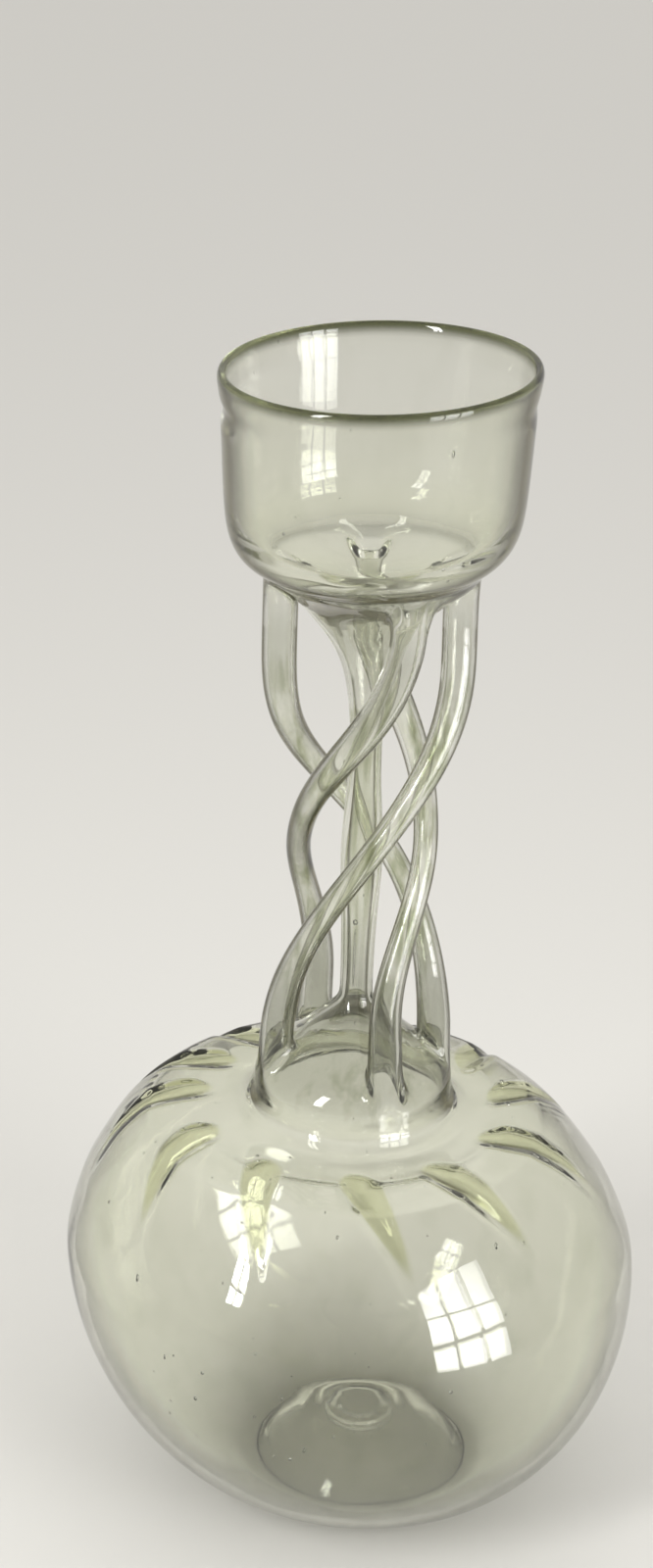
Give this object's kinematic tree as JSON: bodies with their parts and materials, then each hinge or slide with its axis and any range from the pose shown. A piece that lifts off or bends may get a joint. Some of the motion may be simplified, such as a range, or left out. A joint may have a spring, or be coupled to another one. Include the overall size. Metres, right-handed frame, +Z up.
{
  "type": "glug bottle",
  "caption": "Hand-blown glass pouring bottle: a flattened globe with a fluted shoulder, a neck of thin wound tubes round a straight one, and an open cup for slow, gurgling pouring.",
  "frame": {"origin": "the middle of the bottle's outline on the surface that it stands on", "axes": "+Z up along the bottle's height, the front of the picture towards -Y, +X to its right"},
  "size_m": [0.143, 0.1429, 0.2955],
  "materials": {
    "bulb_glass": "clear hand-blown glass with a pale olive cast, polished by the fire",
    "neck_root_glass": "clear hand-blown glass with a pale olive cast, polished by the fire",
    "center_tube_glass": "clear hand-blown glass with a pale olive cast, polished by the fire",
    "front_tube_glass": "clear hand-blown glass with a pale olive cast, polished by the fire",
    "right_tube_glass": "clear hand-blown glass with a pale olive cast, polished by the fire",
    "back_tube_glass": "clear hand-blown glass with a pale olive cast, polished by the fire",
    "left_tube_glass": "clear hand-blown glass with a pale olive cast, polished by the fire",
    "cup_glass": "clear hand-blown glass with a pale olive cast, polished by the fire"
  },
  "bodies": {
    "root": {"bulb": "bulb_glass", "neck_root": "neck_root_glass", "center_tube": "center_tube_glass", "front_tube": "front_tube_glass", "right_tube": "right_tube_glass", "back_tube": "back_tube_glass", "left_tube": "left_tube_glass", "cup": "cup_glass"}
  },
  "joints": []
}
